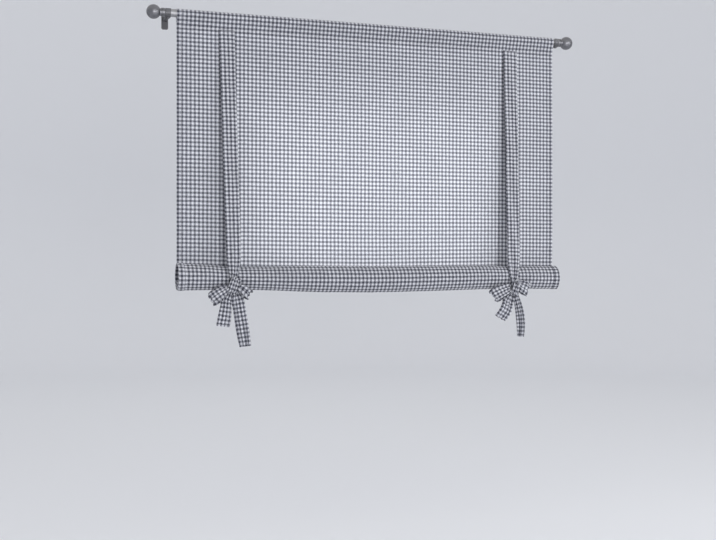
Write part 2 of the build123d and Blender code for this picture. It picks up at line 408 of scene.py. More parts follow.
@dataclass(frozen=True)
class GinghamFinish:
    """Cotton gingham, with the lines that are sewn through it."""

    name: str
    stitches: tuple[StitchLine, ...]
    dyed: Tint = (0.046, 0.048, 0.066)
    crossed: Tint = (0.228, 0.235, 0.280)
    undyed: Tint = (0.70, 0.71, 0.755)
    thread: Tint = (0.62, 0.63, 0.67)
    daylight: Tint = (0.62, 0.64, 0.69)
    daylight_share: float = 0.42  # how far it pales the colour that comes through
    check: float = 10.0
    thread_pitch: float = 5.0 / 12.0
    shift: tuple[float, float] = (0.0, 0.0)
    lets_through: float = 0.2
    unevenness: float = 0.22
    stitch_length: float = 3.0
    stitch_thread: float = 0.45
    weave_relief: float = 0.16
    stitch_relief: float = 0.8
    relief: float = 0.35

    def build(self) -> bpy.types.Material:
        """Return the cloth's material."""
        material, w, output = new_material(self.name)
        lie = w.node("UVMap", uv_map="Cloth").outputs[0]
        moved = w.node("Mapping", {"Vector": lie}, vector_type="POINT")
        moved.inputs["Location"].default_value = (self.shift[0] * MM, self.shift[1] * MM, 0.0)
        weave = GinghamWeave().place(w, {
            "Cloth Place": moved.outputs[0],
            "Check": self.check * MM,
            "Thread": self.thread_pitch * MM,
            "Dyed": self.dyed,
            "Crossed": self.crossed,
            "Undyed": self.undyed,
            "Unevenness": self.unevenness,
        })
        parts = w.node("SeparateXYZ", {0: lie})
        colour = weave.outputs["Colour"]
        height = w.math("MULTIPLY", weave.outputs["Thread Height"], self.weave_relief)
        for line in self.stitches:
            stitch = RunningStitch().place(w, {
                "From Line": w.math("SUBTRACT", parts.outputs[line.axis], line.at * MM),
                "Along Line": parts.outputs[1 - line.axis],
                "Stitch": self.stitch_length * MM,
                "Thread": self.stitch_thread * MM,
            })
            colour = w.blend(stitch.outputs["Thread Mask"], colour, self.thread)
            height = w.math("MULTIPLY_ADD", stitch.outputs["Pull"], self.stitch_relief, height)
        bump = w.node("Bump", {"Strength": 0.55, "Distance": self.relief * MM, "Height": height})
        rough = w.math("MULTIPLY_ADD", weave.outputs["Thread Height"], -0.10, 0.93)
        front = w.node("BsdfPrincipled", {
            "Base Color": colour,
            "Roughness": rough,
            "Normal": bump.outputs[0],
            "Specular IOR Level": 0.25,
            "Sheen Weight": 0.12,
            "Sheen Roughness": 0.6,
        })
        between = w.blend(self.daylight_share, colour, self.daylight)
        behind = w.node("BsdfTranslucent", {"Color": between, "Normal": bump.outputs[0]})
        both = w.node("MixShader", {0: self.lets_through, 1: front.outputs[0], 2: behind.outputs[0]})
        w.feed(output.inputs[0], both.outputs[0])
        return material


class MetalLook(Enum):
    """How the surface of a metal part was finished."""

    BRUSHED = "brushed"
    PLATED = "plated"
    LACQUERED = "lacquered"
    TURNED = "turned"


@dataclass(frozen=True)
class MetalFinish:
    """One metal finish."""

    name: str
    look: MetalLook
    tone: Tint
    worn_tone: Tint
    roughness: float
    metallic: float = 1.0
    coat: float = 0.0
    wear: float = 0.35
    relief: float = 0.12

    def drawn(self) -> Place:
        """Return how finely the lines are drawn along X, Y and Z, in lines per metre."""
        return {
            MetalLook.BRUSHED: (30.0, 2600.0, 2600.0),
            MetalLook.PLATED: (900.0, 220.0, 220.0),
            MetalLook.LACQUERED: (700.0, 700.0, 500.0),
            MetalLook.TURNED: (1500.0, 1500.0, 4000.0),
        }[self.look]

    def build(self) -> bpy.types.Material:
        """Return the metal's material."""
        material, w, output = new_material(self.name)
        place = w.node("TexCoord").outputs["Object"]
        surface = MetalSurface().place(w, {
            "Metal Place": place,
            "Drawn": self.drawn(),
            "Tone": self.tone,
            "Worn Tone": self.worn_tone,
            "Roughness": self.roughness,
            "Wear": self.wear,
        })
        bump = w.node("Bump", {"Strength": self.relief, "Distance": 0.12 * MM,
                               "Height": surface.outputs["Relief"]})
        shader = w.node("BsdfPrincipled", {
            "Base Color": surface.outputs["Colour"],
            "Roughness": surface.outputs["Roughness"],
            "Metallic": self.metallic,
            "Coat Weight": self.coat,
            "Coat Roughness": 0.18,
            "Normal": bump.outputs[0],
        })
        w.feed(output.inputs[0], shader.outputs[0])
        return material


@dataclass(frozen=True)
class FloorFinish:
    """Plain pale studio floor."""

    tone: Tint = (0.81, 0.82, 0.85)

    def build(self) -> bpy.types.Material:
        """Return the floor's material."""
        material, w, output = new_material("studio_floor")
        shader = w.node("BsdfPrincipled", {"Base Color": self.tone, "Roughness": 0.9,
                                           "Specular IOR Level": 0.1})
        w.feed(output.inputs[0], shader.outputs[0])
        return material


# ---- Sheets -----------------------------------------------------------------------------


class Sheet:
    """Cloth that is laid out row by row: each row runs across it and the rows follow its length."""

    def __init__(self, name: str, closed: bool) -> None:
        """Name the sheet and say whether each row is a closed ring, as in a sewn tube."""
        self.name = name
        self.closed = closed
        self.rows: list[list[Place]] = []
        self.lies: list[list[tuple[float, float]]] = []

    def add_row(self, points: list[Place], lie: list[tuple[float, float]]) -> None:
        """Add a row of points and where each lies on the flat cloth, in millimetres."""
        self.rows.append(points)
        self.lies.append(lie)

    def build(self, material: bpy.types.Material) -> bpy.types.Object:
        """Write the sheet's mesh.

        Args:
            material: its cloth.

        Returns:
            The piece, in the scene.
        """
        mesh = bpy.data.meshes.new(self.name)
        work = bmesh.new()
        layer = work.loops.layers.uv.new("Cloth")
        points = [[work.verts.new(Vector(p) * MM) for p in row] for row in self.rows]
        across = len(points[0]) - (0 if self.closed else 1)
        for j in range(len(points) - 1):
            for i in range(across):
                k = (i + 1) % len(points[0])
                corners = ((j, i), (j, k), (j + 1, k), (j + 1, i))
                face = work.faces.new([points[a][b] for a, b in corners])
                face.smooth = True
                places = [self.lie(j, i), self.lie(j, i + 1), self.lie(j + 1, i + 1), self.lie(j + 1, i)]
                for loop, place in zip(face.loops, places):
                    loop[layer].uv = (place[0] * MM, place[1] * MM)
        if self.closed:
            self.close_end(work, layer, points, 0)
            self.close_end(work, layer, points, len(points) - 1)
        work.to_mesh(mesh)
        work.free()
        mesh.materials.append(material)
        piece = bpy.data.objects.new(self.name, mesh)
        bpy.context.scene.collection.objects.link(piece)
        return piece

    def lie(self, row: int, column: int) -> tuple[float, float]:
        """Return where a corner lies on the flat cloth; a ring's last corner comes round again."""
        line = self.lies[row]
        if column < len(line):
            return line[column]
        step = line[1][0] - line[0][0]
        return (line[-1][0] + step, line[-1][1])

    def close_end(self, work: bmesh.types.BMesh, layer: object, points: list, row: int) -> None:
        """Sew the front and back of a tube together at its first or last row."""
        ring = points[row]
        half = len(ring) // 2
        for i in range(half):
            quad = [i, i + 1, (len(ring) - i - 1) % len(ring), (len(ring) - i) % len(ring)]
            corners = list(dict.fromkeys(quad if row else quad[::-1]))
            if len(corners) < 3:
                continue
            face = work.faces.new([ring[k] for k in corners])
            face.smooth = True
            for loop, k in zip(face.loops, corners):
                place = self.lie(row, min(k, len(ring) - k))
                loop[layer].uv = (place[0] * MM, place[1] * MM)


@dataclass(frozen=True)
class RollShape:
    """How the rolled cloth lies along the blind: it sags between the ties and they pinch it."""

    ends: tuple[float, float] = (-494.0, 506.0)
    back: float = -52.0
    middle: float = -622.4
    radius: float = 31.2
    pitch: float = 1.2
    turns: float = 4.12
    places: tuple[float, ...] = (
        -494.0, -420.0, -370.0, -310.0, -170.0, -10.0, 160.0, 310.0, 382.0, 440.0, 506.0
    )
    drops: tuple[float, ...] = (0.6, 1.6, 3.0, 3.8, 5.2, 6.0, 3.6, 1.0, 0.8, 1.2, 1.6)
    sizes: tuple[float, ...] = (1.05, 0.99, 0.91, 0.92, 1.04, 1.07, 1.05, 1.0, 0.925, 0.98, 0.98)

    def at(self, x: float) -> tuple[float, float]:
        """Return how far the roll has dropped at X and its size there beside its nominal size."""
        knots = list(zip(self.drops, self.sizes))
        index = max(k for k in range(len(self.places) - 1) if k == 0 or self.places[k] <= x)
        share = (x - self.places[index]) / (self.places[index + 1] - self.places[index])
        drop, size = through(knots, index + min(max(share, 0.0), 1.0))
        return drop, size

    def centre(self, x: float) -> tuple[float, float]:
        """Return the Y and Z of the roll's middle at X."""
        drop, size = self.at(x)
        return self.back - self.radius * size, self.middle - drop


class SidePath:
    """A line in the YZ plane that is drawn as a walker would: ahead, or turning on a radius."""

    def __init__(self, y: float, z: float, heading: float) -> None:
        """Start at a place; heading is 0 downwards, 90 into the room and 180 upwards."""
        self.y, self.z, self.heading, self.length = y, z, heading, 0.0
        self.points: list[tuple[float, float, float, float]] = []
        self.mark()

    def mark(self) -> None:
        """Keep the present place: Y, Z, heading and the length so far."""
        self.points.append((self.y, self.z, self.heading, self.length))

    def go(self, length: float, turn: float, steps: int) -> None:
        """Go on by a length while turning by an angle in degrees, in even steps."""
        for _ in range(steps):
            mid = math.radians(self.heading + turn / steps / 2)
            self.y -= math.sin(mid) * length / steps
            self.z -= math.cos(mid) * length / steps
            self.heading += turn / steps
            self.length += length / steps
            self.mark()

    def bend(self, radius: float, turn: float, steps: int, end_radius: float | None = None) -> None:
        """Turn on a radius that may change evenly until the end of the turn."""
        for k in range(steps):
            now = radius + ((end_radius or radius) - radius) * (k + 0.5) / steps
            self.go(abs(math.radians(turn / steps)) * now, turn / steps, 1)


@dataclass
class BlindPanel:
    """The blind's one cloth: rod pocket, hanging front and loose roll, hemmed down both sides."""

    roll: RollShape
    rod_y: float = -52.0
    rod_z: float = 4.0
    pocket: float = 10.35
    seam: float = -27.2
    front: float = -53.2
    behind: float = -52.5  # where the pocket's turned-in edge stands
    lap: float = 3.5  # how far that edge starts above the seam
    back_bend: float = 10.0
    front_bend: float = 6.0
    hem: float = 14.0
    hem_gap: float = 0.75
    turned_in: float = 9.0
    middle: float = 6.0
    half_width: float = 500.0
    tie_places: tuple[float, float] = (-371.0, 377.0)
    inner_curl: tuple[float, float] = (7.5, 5.0)  # its first and last radius
    first_part: float = 190.0  # of the outer turn, over which the roll loosens
    draw_in: float = 6.7  # how far the left end is drawn into the roll
    draw_in_slope: float = 0.0055
    seam_stitch: float = 0.8  # from the seam up to its stitches
    fold_stitch: float = 8.0  # from the turned-in edge to its stitches
    hem_stitch: float = 2.0  # from the side hems' inner edges to their stitches
    columns: int = 132
    marks: dict[str, float] = field(default_factory=dict)

    def graze(self, y: float, bend: float) -> tuple[float, float, float]:
        """Lead cloth from the seam so that it just grazes the round of the pocket.

        Args:
            y: where the cloth stands at the seam.
            bend: radius on which it leaves the upright there.

        Returns:
            Its lean in degrees, the length that the bend takes at the seam and the straight length.
        """
        off, rise = abs(y - self.rod_y), self.rod_z - self.seam
        far = math.hypot(off, rise)
        lean = math.asin(self.pocket / far) - math.atan2(off, rise)
        used = bend * math.tan(lean / 2)
        return math.degrees(lean), used, math.sqrt(far**2 - self.pocket**2) - used

    def side(self) -> SidePath:
        """Return the cloth's path seen from the side, from the pocket's hem to the roll's inside."""
        fold = self.hem_gap / 2
        back_lean, back_used, back_length = self.graze(self.behind + 2 * fold, self.back_bend)
        front_lean, _, front_length = self.graze(self.front, self.front_bend)
        path = SidePath(self.behind, self.seam + self.lap, 0.0)
        path.go(self.turned_in, 0.0, 4)
        path.bend(fold, -180.0, 6)
        path.go(self.turned_in - self.lap - back_used, 0.0, 2)
        path.bend(self.back_bend, back_lean, 4)
        path.go(back_length, 0.0, 10)
        path.bend(self.pocket, -180.0 - back_lean - front_lean, 30)
        path.go(front_length, 0.0, 10)
        path.bend(self.front_bend, front_lean - 0.1, 5)
        self.marks["seam"] = path.length
        drop = path.z - self.roll.middle
        path.go(drop, 0.0, 74)
        self.marks["roll"] = path.length
        end = self.roll.radius - self.roll.pitch * self.roll.turns
        path.bend(self.roll.radius, 360.0 * self.roll.turns, 150, end)
        path.bend(end, 60.0, 8, self.inner_curl[0])
        path.bend(self.inner_curl[0], 330.0, 22, self.inner_curl[1])
        return path

    def hang(self, x: float, z: float) -> float:
        """Return how far the hanging cloth stands back from its plane, in millimetres."""
        below = smooth_step(self.seam, self.seam - 190.0, z)
        above = smooth_step(self.roll.middle, self.roll.middle + 120.0, z)
        near_tie = min(abs(x - place) for place in self.tie_places)
        loose = 0.25 + 0.75 * smooth_step(18.0, 70.0, near_tie)
        wave = 2.3 * wander(x, z * 0.25, 3.0, 95.0) + 0.9 * wander(x, z, 8.0, 42.0)
        pulled = 1.6 * math.cos((x - self.middle) / self.half_width * math.pi)
        return (wave * loose + pulled) * below * above

    def place(self, x: float, y: float, z: float, length: float) -> Place:
        """Move a point of the even cloth to where the real cloth hangs or lies.

        Args:
            x: place across.
            y: place of the even cloth off the wall.
            z: height of the even cloth.
            length: how far along the cloth it is.

        Returns:
            The real place.
        """
        if length < self.marks["seam"]:
            soft = 0.35 * wander(x, length, 5.0, 36.0) * (0.15 if y > self.rod_y else 1.0)
            return (x, y + soft, z + 0.3 + 0.3 * wander(x, 0.0, 7.0, 70.0))
        drop, size = self.roll.at(x)
        if length < self.marks["roll"]:
            share = smooth_step(self.roll.middle + 330.0, self.roll.middle, z)
            return (x, y + self.hang(x, z), z - drop * share)
        wound = (length - self.marks["roll"]) / self.first_part
        ends = abs((x - self.middle) / self.half_width) ** 5
        rough = 0.75 * wander(x, length, 11.0, 55.0) + 0.5 * wander(x, length, 13.0, 23.0)
        fade = smooth_step(0.0, 0.35, wound)
        size *= 1.0 + 0.018 * rough * fade
        slack = 1.6 * fade * wander(wound * 30.0, x, 17.0, 19.0)
        drawn = smooth_step(0.05, 0.45, wound)
        return (
            x + ends * slack - drawn * (self.draw_in + self.draw_in_slope * (x - self.middle)),
            self.roll.back + (y - self.roll.back) * size,
            self.roll.middle - drop + (z - self.roll.middle) * size,
        )

    def across(self) -> list[tuple[float, float, float]]:
        """Return the cloth's row: place across, how far folded back and its flat place."""
        left, right = self.roll.ends
        fold = self.hem_gap / 2
        wide = right - left
        round_fold = [(fold * math.sin(a), fold + fold * math.cos(a)) for a in (0.8, 1.6, 2.4)]
        row = [(left + self.hem, 2 * fold, 0.0), (left + fold, 2 * fold, self.hem - fold)]
        row += [(left + fold - out, back, self.hem) for out, back in round_fold]
        row += [
            (left + fold + (wide - 2 * fold) * k / self.columns, 0.0,
             self.hem + fold + (wide - 2 * fold) * k / self.columns)
            for k in range(self.columns + 1)
        ]
        row += [(right - fold + out, back, self.hem + wide) for out, back in reversed(round_fold)]
        row += [
            (right - fold, 2 * fold, self.hem + wide + fold),
            (right - self.hem, 2 * fold, wide + 2 * self.hem),
        ]
        return row

    def build(self, material_of: ClothMaker) -> bpy.types.Object:
        """Args:
            material_of: gives the material for a cloth and the lines sewn through it.

        Returns:
            The piece.
        """
        path = self.side()
        row = self.across()
        sheet = Sheet("gingham_blind_cloth", closed=False)
        for y, z, heading, length in path.points:
            turn = math.radians(heading)
            back = (math.cos(turn), -math.sin(turn))
            points = [
                self.place(x, y + back[0] * off, z + back[1] * off, length) for x, off, _ in row
            ]
            sheet.add_row(points, [(u, length) for _, _, u in row])
        wide = self.roll.ends[1] - self.roll.ends[0] + 2 * self.hem
        seam = self.marks["seam"]
        inset = self.hem * 2 - self.hem_stitch
        lines = (
            StitchLine(1, seam - self.seam_stitch),
            StitchLine(1, self.fold_stitch),
            StitchLine(0, inset),
            StitchLine(0, wide - inset),
        )
        piece = sheet.build(material_of(ClothUse.PANEL, lines))
        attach(piece, "root")
        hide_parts("cloth_panel")
        log.info("%s: %.0f x %.0f mm of cloth", piece.name, wide, path.length)
        return piece


# ---- Ties and bows ----------------------------------------------------------------------


class Facing(Enum):
    """Which way the outer side of a ribbon looks where it lies in the plane of the blind."""

    ROOM = 1.0
    WALL = -1.0


@dataclass(frozen=True)
class Station:
    """One place on a ribbon's middle line, with its way across and its gathered width."""

    at: Place
    across: Place
    width: float


def level_across(angle: float, facing: Facing) -> Place:
    """Return a ribbon's way across where it runs in the plane of the blind.

    Args:
        angle: which way it runs, in degrees from +X towards +Z.
        facing: which way its outer side looks.

    Returns:
        The direction across it.
    """
    turn = math.radians(angle)
    return (-math.sin(turn) * facing.value, 0.0, math.cos(turn) * facing.value)


LOOP_OUTLINE = (  # shares of a loop's reach, puff and width, out from the knot and back
    (0.24, 0.20, 0.62),
    (0.48, 0.42, 0.88),
    (0.76, 0.50, 0.98),
    (0.96, 0.30, 1.0),
    (1.0, 0.0, 1.0),
    (0.96, -0.30, 1.0),
    (0.76, -0.50, 0.98),
    (0.48, -0.42, 0.86),
    (0.24, -0.20, 0.56),
)


@dataclass(frozen=True)
class Loop:
    """One loop of a bow: a flattened eye of ribbon."""

    reach: float
    angle: float
    width: float
    puff: float = 13.0
    tilt: float = 22.0
    skew: float = 0.0
    sag: float = 3.0
    back_drop: float = 4.0  # how much lower the returning layer hangs
    forward: float = 3.0
    root: tuple[float, float] = (0.0, 0.0)

    def stations(self, knot: Vector, first: float, facing: Facing) -> list[Station]:
        """Return the loop's stations from the knot out to its fold and back.

        Args:
            knot: the middle of the knot.
            first: -1 if the layer that leaves the knot is the one nearer the room, +1 if not.
            facing: which way the leaving layer's outer side looks.

        Returns:
            The stations in order.
        """
        turn = math.radians(self.angle)
        out = Vector((math.cos(turn), 0.0, math.sin(turn)))
        across = Vector(level_across(self.angle, facing))
        lower = 1.0 if across.z < 0 else -1.0
        lean = math.radians(self.tilt)
        tipped = (across * math.cos(lean) + Vector((0.0, -lower * math.sin(lean), 0.0))).normalized()
        square = out.cross(tipped)
        square *= first if square.y > 0 else -first
        slanted = (tipped + out * math.tan(math.radians(self.skew))).normalized()
        made = []
        for share, gap, wide in LOOP_OUTLINE:
            droop = self.root[1] - self.sag * share * share - (self.back_drop if gap < 0 else 0.0)
            at = knot + out * (self.reach * share) + square * (self.puff * gap)
            at += Vector((self.root[0], -self.forward, droop))
            way = tipped.lerp(slanted, share)
            made.append(Station(tuple(at), tuple(way), self.width * wide))
        return made


@dataclass(frozen=True)
class Tail:
    """One hanging end of a bow, from the knot to its sewn end."""

    start: tuple[float, float]
    end: tuple[float, float]
    widths: tuple[float, float]
    bow: float = 0.0
    turned: float = 0.0
    lift: float = 0.0
    forward: float = 2.0

    def stations(self, knot: Vector) -> list[Station]:
        """Return the tail's stations from just under the knot to its end."""
        made = []
        (x0, z0), (x1, z1) = self.start, self.end
        angle = math.degrees(math.atan2(z1 - z0, x1 - x0))
        for share in (0.0, 0.25, 0.5, 0.75, 1.0):
            away = self.bow * 4.0 * share * (1.0 - share)
            x = x0 + (x1 - x0) * share + away
            z = z0 + (z1 - z0) * share
            y = -self.forward - self.lift * math.sin(share * math.pi)
            width = self.widths[0] + (self.widths[1] - self.widths[0]) * smooth_step(0.0, 0.7, share)
            flat = Vector(level_across(angle, Facing.WALL))
            turn = math.radians(self.turned * share)
            way = flat * math.cos(turn) + Vector((0.0, math.sin(turn), 0.0))
            made.append(Station(tuple(knot + Vector((x, y, z))), tuple(way), width))
        return made


@dataclass(frozen=True)
class BowShape:
    """One bow: where its knot is and how its loops and tails lie."""

    side: str
    knot: Place
    top: float
    foot: float
    back: float
    left_loop: Loop
    right_loop: Loop
    left_tail: Tail
    right_tail: Tail
    band: float
    tall: float
    neck: float
    neck_rise: float
    lean: float = 20.0


@dataclass
class Ribbon:
    """A sewn tube of cloth, pressed flat, that follows its stations."""

    name: str
    stations: list[Station]
    cloth_width: float = 39.0
    thickness: float = 0.9
    step: float = 2.6
    points: int = 18
    gathers: float = 2.5  # pleats across the width
    deepest: float = 2.8
    edge_curl: float = 1.1
    roughness: float = 0.35
    end_stitch: float = 4.0  # from the tail's end to its stitches
    top_stitch: float = 2.5
    seed: float = 1.0

    def pleat(self, width: float) -> float:
        """Return how deep the gathers are where the cloth is pulled in to a width."""
        spare = max((self.cloth_width / width) ** 2 - 1.0, 0.0)
        return min(width / (math.tau * self.gathers) * math.sqrt(2.0 * spare), self.deepest)

    def sheet(self) -> tuple[Sheet, float]:
        """Lay the ribbon out along its stations.

        Returns:
            The sheet and the length of its middle line in millimetres.
        """
        values = [(*s.at, *s.across, s.width) for s in self.stations]
        fine = []
        for k in range(len(values) - 1):
            gap = (Vector(values[k + 1][:3]) - Vector(values[k][:3])).length
            count = max(int(gap / self.step), 2)
            fine += [through(values, k + n / count) for n in range(count)]
        fine.append(values[-1])
        sheet = Sheet(self.name, closed=True)
        length = 0.0
        for k, row in enumerate(fine):
            here = Vector(row[:3])
            ahead = Vector(fine[min(k + 1, len(fine) - 1)][:3]) - Vector(fine[max(k - 1, 0)][:3])
            ahead.normalize()
            if k:
                length += (here - Vector(fine[k - 1][:3])).length
            across = Vector(row[3:6])
            across = (across - ahead * across.dot(ahead)).normalized()
            self.add_ring(sheet, here, across, ahead.cross(across), row[6], length)
        return sheet, length

    def add_ring(
        self, sheet: Sheet, here: Vector, across: Vector, out: Vector, width: float, length: float
    ) -> None:
        """Add one ring of the tube: its front from edge to edge, then its back."""
        deep = self.pleat(width)
        curl = self.edge_curl * wander(length, 0.0, self.seed, 60.0)
        points, lie = [], []
        for k in range(2 * self.points):
            side = 1.0 if k < self.points else -1.0
            share = k / self.points if k < self.points else 2.0 - k / self.points
            t = 2.0 * share - 1.0
            thick = self.thickness / 2 * (max(1.0 - abs(t) ** 6, 0.0)) ** 0.5
            fold = deep * math.sin(math.tau * self.gathers * share + self.seed * 2.1 + length * 0.03)
            rough = self.roughness * wander(t * 14.0, length, self.seed + 4.0, 13.0)
            lift = fold + side * thick + rough + curl * t * t
            points.append(tuple(here + across * (t * width / 2) + out * lift))
            lie.append((k * self.cloth_width / self.points, length))
        sheet.add_row(points, lie)

    def build(self, material_of: ClothMaker, node: str, rests_on: list[str]) -> bpy.types.Object:
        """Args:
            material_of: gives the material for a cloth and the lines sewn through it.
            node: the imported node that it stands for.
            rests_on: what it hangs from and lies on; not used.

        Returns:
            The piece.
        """
        sheet, length = self.sheet()
        lines = (StitchLine(1, length - self.end_stitch), StitchLine(1, self.top_stitch))
        piece = sheet.build(material_of(ClothUse.TIE, lines))
        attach(piece, "root")
        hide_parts(node)
        log.info("%s: %.0f mm long", piece.name, length)
        return piece


FRONT_DROP = (  # share of the way from the seam to the roll's front, and the width there
    (0.02, 39.0), (0.07, 38.6), (0.2, 37.8), (0.35, 37.4),
    (0.5, 37.0), (0.65, 36.6), (0.8, 36.0), (0.92, 34.5),
)
BACK_DROP = (0.0, 0.05, 0.2, 0.4, 0.6, 0.8, 0.93)  # shares of the way down behind the cloth
UNDER_ROLL = (  # angle round the roll from its back, width, and how far the gathers stand off
    (0.0, 38.0, 0.2), (30.0, 37.0, 0.8), (60.0, 35.0, 1.6), (90.0, 30.0, 2.4), (112.0, 24.0, 2.6),
)


@dataclass
class TiePair:
    """The front and back ties of one side, joined in a bow under the roll."""

    shape: BowShape
    panel: BlindPanel
    full_width: float = 39.0
    front_gap: float = 1.6
    back_gap: float = 2.2
    level: Place = (1.0, 0.0, 0.0)

    def near(self, dx: float, dy: float, dz: float, across: Place, width: float) -> Station:
        """Return a station at a distance from the knot's middle."""
        at = Vector(self.shape.knot) + Vector((dx, dy, dz))
        return Station(tuple(at), across, width)

    def front_stations(self) -> list[Station]:
        """Return the front tie's stations: seam, roll, knot, left loop, left tail."""
        bow, panel = self.shape, self.panel
        knot = Vector(bow.knot)
        middle_y, middle_z = panel.roll.centre(knot.x)
        _, size = panel.roll.at(knot.x)
        touch = middle_y - panel.roll.radius * size - self.front_gap
        start = (bow.top, panel.front - 1.5, panel.seam - 1.0)
        level = self.level
        made = [Station(start, level, self.full_width)]
        for share, width in FRONT_DROP:
            x = bow.top + (bow.foot - bow.top) * share + 1.2 * wander(share * 300.0, 0.0, bow.top, 90.0)
            y = start[1] + (touch - start[1]) * share
            made.append(Station((x, y, start[2] + (middle_z - start[2]) * share), level, width))
        made += [
            Station(
                ((knot.x + bow.foot) / 2, touch - self.front_gap, knot.z + bow.neck_rise + 11.0),
                level,
                (bow.neck + 31.0) / 2,
            ),
            Station((knot.x, touch - 2 * self.front_gap, knot.z + bow.neck_rise), level, bow.neck),
            self.near(0.0, 2.0, 10.0, level, 14.0),
            self.near(-2.0, 3.0, 2.0, level_across(250.0, Facing.ROOM), 13.0),
        ]
        made += bow.left_loop.stations(knot, -1.0, Facing.ROOM)
        x, z = bow.left_tail.start
        back = math.degrees(math.atan2(z + 9.0, x + 7.0))
        made += [
            self.near(-5.0, -1.5, -6.0, level_across(bow.left_loop.angle + 110.0, Facing.WALL), 13.0),
            self.near((x - 5.0) / 2, -2.0, (z - 8.0) / 2, level_across(back, Facing.WALL), 20.0),
        ]
        made += bow.left_tail.stations(knot)
        return made

    def back_stations(self) -> list[Station]:
        """Return the back tie's stations: behind, under the roll, round the knot, right loop, right tail."""
        bow, panel = self.shape, self.panel
        knot = Vector(bow.knot)
        level = self.level
        middle_y, middle_z = panel.roll.centre(knot.x)
        _, size = panel.roll.at(knot.x)
        radius = panel.roll.radius * size + self.back_gap
        start = (bow.back, panel.rod_y + 1.4, panel.seam - 2.0)
        made = []
        for share in BACK_DROP:
            x = bow.back + (knot.x - bow.back) * share
            x += 1.5 * wander(share * 300.0, 0.0, bow.back + 9.0, 90.0)
            y = start[1] + (middle_y + radius - start[1]) * share + 1.2 * math.sin(share * math.pi)
            made.append(Station((x, y, start[2] + (middle_z - start[2]) * share), level, 38.6))
        for angle, width, proud in UNDER_ROLL:
            turn = math.radians(angle)
            reach = radius + proud
            at = (knot.x, middle_y + reach * math.cos(turn), middle_z - reach * math.sin(turn))
            made.append(Station(at, level, width))
        wide, tall = bow.band, bow.tall
        slant = level_across(90.0 - bow.lean, Facing.WALL)
        shift = math.sin(math.radians(bow.lean)) * tall / 2
        made += [
            self.near(-shift, 9.0, 3.0 - tall / 2, level, 18.0),
            self.near(-shift, 0.0, -tall / 2, slant, wide * 0.75),
            self.near(-0.7 * shift, -9.0, -0.36 * tall, slant, wide * 0.95),
            self.near(0.0, -12.5, 0.0, slant, wide),
            self.near(0.7 * shift, -10.0, 0.34 * tall, slant, wide * 0.92),
            self.near(shift, -3.5, tall / 2, slant, wide * 0.7),
            self.near(2.0, -0.5, 0.24 * tall, level, 15.0),
            self.near(4.0, -1.5, 0.5, level_across(bow.right_loop.angle - 25.0, Facing.ROOM), 12.0),
        ]
        made += bow.right_loop.stations(knot, 1.0, Facing.ROOM)
        x, z = bow.right_tail.start
        back = math.degrees(math.atan2(z + 9.0, x - 7.0))
        made += [
            self.near(5.0, -3.0, -6.0, level_across(bow.right_loop.angle - 110.0, Facing.WALL), 13.0),
            self.near((x + 5.0) / 2, -2.5, (z - 8.0) / 2, level_across(back, Facing.WALL), 20.0),
        ]
        made += bow.right_tail.stations(knot)
        return made

    def build(self, material_of: ClothMaker) -> None:
        """Build both ties."""
        side = self.shape.side
        cloth = "gingham_blind_cloth"
        front = Ribbon(f"{side}_front_tie_cloth", self.front_stations(), seed=2.0 + self.shape.knot[0] / 100)
        front.build(material_of, f"{side}_front_tie", [cloth, f"{side}_back_tie_cloth"])
        back = Ribbon(f"{side}_back_tie_cloth", self.back_stations(), seed=6.0 + self.shape.knot[0] / 100)
        back.build(material_of, f"{side}_back_tie", [cloth])


# ---- Rod, finials and brackets ----------------------------------------------------------


@dataclass
class RodSet:
    """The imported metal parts, which keep their shapes and get their finishes."""

    nodes: dict[str, bpy.types.Object]
    hole_spacing: float = 34.0

    def finishes(self) -> dict[str, MetalFinish]:
        """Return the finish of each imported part, by the last words of its name."""
        return {
            "rod": MetalFinish("brushed_rod_steel", MetalLook.BRUSHED, (0.38, 0.38, 0.395),
                               (0.46, 0.46, 0.47), 0.46, relief=0.2),
            "finial": MetalFinish("satin_finial_metal", MetalLook.PLATED, (0.21, 0.21, 0.225),
                                  (0.31, 0.31, 0.32), 0.35),
            "bracket": MetalFinish("lacquered_bracket_metal", MetalLook.LACQUERED, (0.13, 0.13, 0.14),
                                   (0.24, 0.24, 0.24), 0.52, metallic=0.85, coat=0.25, relief=0.2),
            "set_screw": MetalFinish("turned_screw_steel", MetalLook.TURNED, (0.48, 0.48, 0.49),
                                     (0.62, 0.62, 0.62), 0.3),
        }

    def dress(self) -> None:
        """Give every packed metal part its finish."""
        made = {end: finish.build() for end, finish in self.finishes().items()}
        for name, piece in self.nodes.items():
            for end, material in made.items():
                if name.endswith(end):
                    piece.data.materials.clear()
                    piece.data.materials.append(material)
                    log.info("%s: %s", name, material.name)
        for side in ("left", "right"):
            low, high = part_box(f"{side}_bracket")
            for where, z in (("upper", self.hole_spacing / 2), ("lower", -self.hole_spacing / 2)):
                middle = ((low.x + high.x) / 2 / MM, z)
                WallScrew(f"{side}_{where}_wall_screw", middle).build(made["bracket"])


